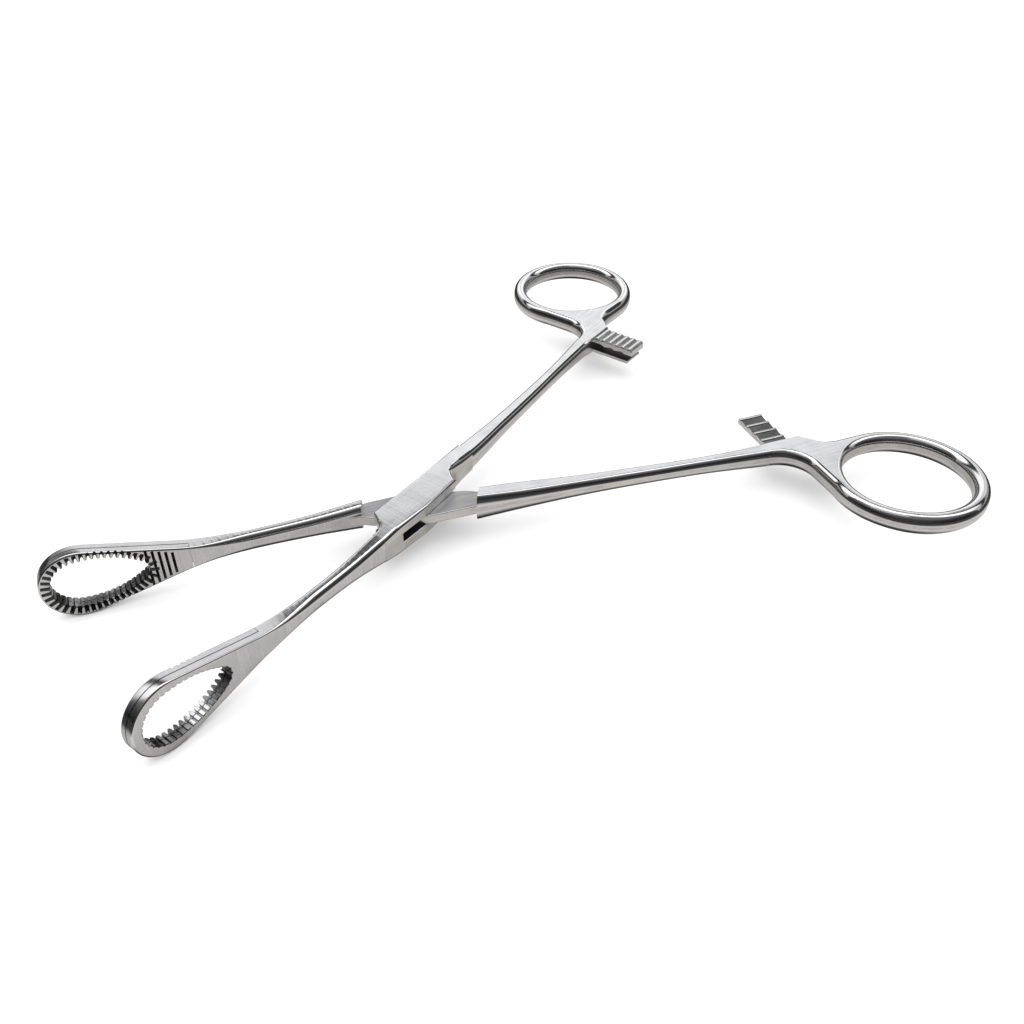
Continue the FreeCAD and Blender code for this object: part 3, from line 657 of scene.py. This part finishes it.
def catch_meshes():
    """The other half's bar with the catches on top."""
    tip, root, low, high, depth = -5.7, 8.6, -1.425, -0.075, 0.4
    steps = [(tip, low), (root, low), (root, high - depth)]
    for number in range(3, -1, -1):
        start = tip + number * CATCH
        steps.append((start + 2.6, high - depth))
        steps.append((start + 1.0, high - 0.12))
        steps.append((start + 0.05, high - 0.25, 0.55))
        steps.append((start, high - depth - 0.02))
    bar = bar_mesh(steps)
    # The steep faces of the catches take the painted shade finish: painted shade in the notches.
    for face in bar.faces:
        _, y, z = face.calc_center_median()
        if abs(face.normal.y) > 0.5 and y > tip + 0.3 and z > high - depth - 0.1:
            face.material_index = PAINTED_SHADE
    return [bar]


# Window teeth: one cutter on each point of the tooth line

def solid_object(name, corners, faces, material):
    mesh = bmesh.new()
    verts = [mesh.verts.new(corner) for corner in corners]
    for face in faces:
        mesh.faces.new([verts[corner] for corner in face])
    bmesh.ops.recalc_face_normals(mesh, faces=mesh.faces[:])
    solid = bpy.data.meshes.new(name)
    mesh.to_mesh(solid)
    mesh.free()
    solid.materials.append(material)
    return bpy.data.objects.new(name, solid)


def cutters_along(name, loop, cutter, count, material):
    """Cutters set along a closed line, each turned to it."""
    line = bpy.data.meshes.new(name)
    total = len(loop)
    edges = [(here, (here + 1) % total) for here in range(total)]
    line.from_pydata([(*point, 0) for point in loop], edges, [])
    carrier = bpy.data.objects.new(name, line)
    bpy.context.scene.collection.objects.link(carrier)
    tree = bpy.data.node_groups.new(name, "GeometryNodeTree")
    face = tree.interface
    face.new_socket("Line", in_out="INPUT", socket_type="NodeSocketGeometry")
    number = face.new_socket("Teeth", in_out="INPUT", socket_type="NodeSocketInt")
    shape = face.new_socket("Cutter", in_out="INPUT", socket_type="NodeSocketObject")
    finish = face.new_socket("Finish", in_out="INPUT", socket_type="NodeSocketMaterial")
    face.new_socket("Cutters", in_out="OUTPUT", socket_type="NodeSocketGeometry")
    new = tree.nodes.new
    link = tree.links.new
    start, end = new("NodeGroupInput"), new("NodeGroupOutput")
    curve = new("GeometryNodeMeshToCurve")
    points = new("GeometryNodeCurveToPoints")
    turn = new("FunctionNodeAlignRotationToVector")
    turn.axis, turn.pivot_axis = "X", "Z"
    info = new("GeometryNodeObjectInfo")
    scatter = new("GeometryNodeInstanceOnPoints")
    real = new("GeometryNodeRealizeInstances")
    paint = new("GeometryNodeSetMaterial")
    link(start.outputs["Line"], curve.inputs["Mesh"])
    link(curve.outputs["Curve"], points.inputs["Curve"])
    link(start.outputs["Teeth"], points.inputs["Count"])
    link(points.outputs["Points"], scatter.inputs["Points"])
    link(points.outputs["Tangent"], turn.inputs["Vector"])
    link(turn.outputs[0], scatter.inputs["Rotation"])
    link(start.outputs["Cutter"], info.inputs["Object"])
    link(info.outputs["Geometry"], scatter.inputs["Instance"])
    link(scatter.outputs["Instances"], real.inputs["Geometry"])
    link(real.outputs["Geometry"], paint.inputs["Geometry"])
    link(start.outputs["Finish"], paint.inputs["Material"])
    link(paint.outputs["Geometry"], end.inputs["Cutters"])
    modifier = carrier.modifiers.new(name, "NODES")
    modifier.node_group = tree
    modifier[number.identifier] = count
    modifier[shape.identifier] = cutter
    modifier[finish.identifier] = material
    bake(carrier)
    return carrier


def carve(name, mesh, cutter_objects, materials):
    """Cut the cutters out of a mesh."""
    solid = bpy.data.meshes.new(name)
    mesh.to_mesh(solid)
    mesh.free()
    for material in materials:
        solid.materials.append(material)
    piece = bpy.data.objects.new(name, solid)
    bpy.context.scene.collection.objects.link(piece)
    for cutter in cutter_objects:
        cut = piece.modifiers.new("cut", "BOOLEAN")
        cut.operation, cut.solver, cut.object = "DIFFERENCE", "EXACT", cutter
        cut.use_self = True
        cut.material_mode = "TRANSFER"
    bake(piece)
    result = bmesh.new()
    result.from_mesh(piece.data)
    bpy.data.objects.remove(piece)
    return result


TOOTH_COUNT = 41
PITCH = 1.09


def toothed_meshes(side):
    """The jaw's back layer with its root and arm, and the serrated plate."""
    kit = materials[side]
    finishes = finish_list(side, "upright", "rim", "soft", "teeth")
    loop = window_loop()[::-1]
    half = PITCH * 0.5
    # The cutters carry the near-black tooth finish, so the cut grooves and notches get painted
    # shade.
    groove = solid_object("groove_cutter", [
        (-half * 0.86, 0.4, -0.05), (half * 0.86, 0.4, -0.05), (0, 0.4, 1.1),
        (-half * 0.7, -1.64, -0.05), (half * 0.7, -1.64, -0.05), (0, -1.5, 0.5)],
        [(0, 1, 2), (5, 4, 3), (0, 3, 4, 1), (1, 4, 5, 2), (2, 5, 3, 0)], kit["teeth"])
    notch_flat = [(-half * 0.62, 0.35), (half * 0.62, 0.35), (half * 0.26, -0.32),
                  (-half * 0.26, -0.32)]
    notch = solid_object("notch_cutter", [(*xy, -0.2) for xy in notch_flat]
                         + [(*xy, 3.0) for xy in notch_flat],
                         [(3, 2, 1, 0), (4, 5, 6, 7), (0, 1, 5, 4), (1, 2, 6, 5), (2, 3, 7, 6),
                          (3, 0, 4, 7)], kit["teeth"])
    grooves = cutters_along("face_grooves", loop, groove, TOOTH_COUNT, kit["teeth"])
    notches = cutters_along("wall_notches", loop, notch, TOOTH_COUNT, kit["teeth"])
    corners, faces = [], []
    for number in range(5):
        x = 18.55 + number * PITCH
        reach = 4.15 - number * 0.42
        first = len(corners)
        corners += [(x - half * 0.5, reach, -0.05), (x + half * 0.5, reach, -0.05),
                    (x, reach - 0.9, 0.6), (x - half * 0.5, -reach, -0.05),
                    (x + half * 0.5, -reach, -0.05), (x, 0.9 - reach, 0.6)]
        faces += [[first + corner for corner in face]
                  for face in ((0, 1, 4, 3), (0, 2, 1), (3, 4, 5), (0, 3, 5, 2), (1, 2, 5, 4))]
    cross = solid_object("cross_grooves", corners, faces, kit["teeth"])
    bpy.context.scene.collection.objects.link(cross)
    seam = 0.09
    whole = jaw_and_arm(side)
    # The window's inner walls take the painted shade slot, which here is the near-black tooth
    # finish.
    for face in whole.faces:
        x, y, z = face.calc_center_median()
        flank = TIP < x < 19.2 and abs(y) < 5.7 - math.tan(TAPER) * (x - TIP)
        if face.material_index in (RIM, WALL) and (flank or math.hypot(x - TIP, y) < 5.6):
            face.material_index = PAINTED_SHADE
    plate, back, root = whole, whole.copy(), whole.copy()
    keep_side(plate, (PLATE_LENGTH - seam, 0, 0), (1, 0, 0))
    keep_side(plate, (0, 0, LAYER - seam), (0, 0, 1))
    keep_side(back, (PLATE_LENGTH, 0, 0), (1, 0, 0))
    keep_side(back, (0, 0, LAYER + seam), (0, 0, -1))
    keep_side(root, (PLATE_LENGTH, 0, 0), (-1, 0, 0))
    plate = carve("plate", plate, [grooves, notches, cross], finishes)
    back = carve("back", back, [notches], finishes)
    for item in (grooves, notches, cross):
        bpy.data.objects.remove(item)
    for item in (groove, notch):
        bpy.data.objects.remove(item)
    for mesh in (plate, back, root):
        stand_jaw(mesh)
    if side == "box":
        keep_side(root, (-ARM_START, 0, 0), (1, 0, 0))
    else:
        keep_side(root, (-9.4, -4.15, 0), (4.0, 1.4, 0))
    return plate, back, root, finishes


def show(piece, side, nodes=()):
    """Give a piece its body and hide the nodes that it stands for."""
    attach(piece, SIDES[side][0])
    if nodes:
        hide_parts(*nodes)


for side, (_, way) in SIDES.items():
    handle = finish_piece(f"{side}_shank_and_ring", [handle_mesh(side)], way,
                          finish_list(side, "flat", "rim", "wall"))
    show(handle, side, [f"{side}_half"])
    plate, back, root, jaw_finishes = toothed_meshes(side)
    arm = finish_piece(f"{side}_arm_and_jaw", [back, root], way, jaw_finishes)
    show(arm, side)
    serrated = finish_piece(f"{side}_serrated_plate", [plate], way, jaw_finishes)
    show(serrated, side, [f"{side}_jaw_plate"])
    if side == "box":
        lock = finish_piece("box_lock", box_lock_meshes(), way,
                            finish_list(side, "across", "rim", "wall", "inside"))
        ratchet = finish_piece("box_ratchet_fork", fork_meshes(), way,
                               finish_list(side, "wall", "ridge", "ridge", "inside"))
    else:
        # The tongue's flats take the dull finish, whose darker tint is painted shade between the
        # box plates.
        lock = finish_piece("tongue_in_lock", [tongue_mesh()], way,
                            finish_list(side, "dull", "rim", "wall"))
        ratchet = finish_piece("tongue_ratchet_bar", catch_meshes(), way,
                               finish_list(side, "wall", "ridge", "soft", "inside"))
    show(lock, side)
    show(ratchet, side)
dress(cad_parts["pivot_pin"], materials["box"]["across"])


# Camera, floor and light

PLACE = Vector((-0.07846, -0.12835, 0.12237))
AZIMUTH, ELEVATION, ROLL = (math.radians(angle) for angle in (-38.52, 38.66, 0.93))
SPAN_IN_PIXELS = 986.4
ahead = Vector((-math.sin(AZIMUTH) * math.cos(ELEVATION), math.cos(AZIMUTH) * math.cos(ELEVATION),
                -math.sin(ELEVATION)))
level = Vector((math.cos(AZIMUTH), math.sin(AZIMUTH), 0))
upward = level.cross(ahead)
right = math.cos(ROLL) * level + math.sin(ROLL) * upward
up = -math.sin(ROLL) * level + math.cos(ROLL) * upward
camera = bpy.data.objects.new("camera", bpy.data.cameras.new("camera"))
camera.data.sensor_width = 36.0
camera.data.lens = 36.0 * SPAN_IN_PIXELS / 1024
camera.data.clip_start = 0.01
camera.matrix_world = Matrix((
    (right.x, up.x, -ahead.x, PLACE.x),
    (right.y, up.y, -ahead.y, PLACE.y),
    (right.z, up.z, -ahead.z, PLACE.z),
    (0, 0, 0, 1)))
bpy.context.scene.collection.objects.link(camera)
bpy.context.scene.camera = camera
bpy.context.scene.view_settings.view_transform = "Standard"

FLOOR = -0.0038


def plain_floor():
    """White floor for the camera and soft light. Glossy rays see a painted reflection: warm light
    grey in one band of slants and near-black elsewhere, painted dark bands and painted contact
    shade in the steel.
    """
    mesh = bpy.data.meshes.new("floor")
    reach = 3.0
    mesh.from_pydata([(-reach, -reach, FLOOR), (reach, -reach, FLOOR), (reach, reach, FLOOR),
                      (-reach, reach, FLOOR)], [], [(0, 1, 2, 3)])
    floor = bpy.data.objects.new("floor", mesh)
    bpy.context.scene.collection.objects.link(floor)
    material = bpy.data.materials.new("pale_floor")
    material.use_nodes = True
    tree = material.node_tree
    shader = tree.nodes["Principled BSDF"]
    shader.inputs["Roughness"].default_value = 0.9
    shader.inputs["Specular IOR Level"].default_value = 0.0
    glossy = add_node(tree, "ShaderNodeLightPath", out="Is Glossy Ray")
    slant = add_node(tree, "ShaderNodeLayerWeight", None, {"Blend": 0.5}, out=1)
    # Painted reflection: the floor seen by glossy rays is warm grey only in a band of slants and
    # near-black (0.03) elsewhere, standing in for dark surroundings and the shade under the steel.
    painted_reflection_band = slant.between(0.02, 0.3) * (1 - slant.between(0.48, 0.72))
    seen = mixed(tree, painted_reflection_band, (0.03, 0.03, 0.03, 1), (0.46, 0.448, 0.43, 1))
    put(tree, shader.inputs["Base Color"], mixed(tree, glossy, (0.93, 0.93, 0.93, 1), seen))
    mesh.materials.append(material)


def soft_box(name, place, size, power, target=(0, 0, 0)):
    lamp = bpy.data.lights.new(name, "AREA")
    lamp.shape = "RECTANGLE"
    lamp.size, lamp.size_y = size
    lamp.energy = power
    holder = bpy.data.objects.new(name, lamp)
    holder.location = place
    holder.rotation_euler = (Vector(target) - Vector(place)).to_track_quat("-Z", "Y").to_euler()
    bpy.context.scene.collection.objects.link(holder)


def studio():
    """White room for the camera and for soft light; polished steel sees its bright ceiling, pale
    back wall and dark front."""
    world = bpy.data.worlds.new("studio")
    bpy.context.scene.world = world
    world.use_nodes = True
    tree = world.node_tree
    tree.nodes.clear()
    looking = add_node(tree, "ShaderNodeTexCoord")
    x, y, z = (add_node(tree, "ShaderNodeSeparateXYZ", None, {0: looking}, out=axis)
               for axis in range(3))
    front = x * -0.487 + y * -0.612
    turn = z.sum_with("ARCTAN2", -front) * math.degrees(1)
    back = turn.between(12, 28) * (1 - turn.between(46, 52))
    ceiling = turn.between(60, 66) * (1 - turn.between(84, 92))
    haze = turn.between(84, 92) * (1 - turn.between(100, 150))
    sideways = (x * 0.783 + y * -0.622).sum_with("ABSOLUTE")
    low_side = sideways.between(0.3, 0.75) * (1 - z.between(0.35, 0.8))
    seen = (back * 1.08 + ceiling * 1.5 + haze * 0.14 + 0.03) * (1 - low_side * 0.72)
    glossy = add_node(tree, "ShaderNodeLightPath", out="Is Glossy Ray")
    straight = add_node(tree, "ShaderNodeLightPath", out="Is Camera Ray")
    strength = glossy * seen + (1 - glossy) * (1.46 - straight * 0.46)
    light = add_node(tree, "ShaderNodeBackground", None,
                     {"Color": (1, 1, 1, 1), "Strength": strength})
    send_out(tree, "ShaderNodeOutputWorld", light)


plain_floor()
studio()
soft_box("key_light", (-0.1, 0.1, 0.9), (0.9, 0.7), 0.7)
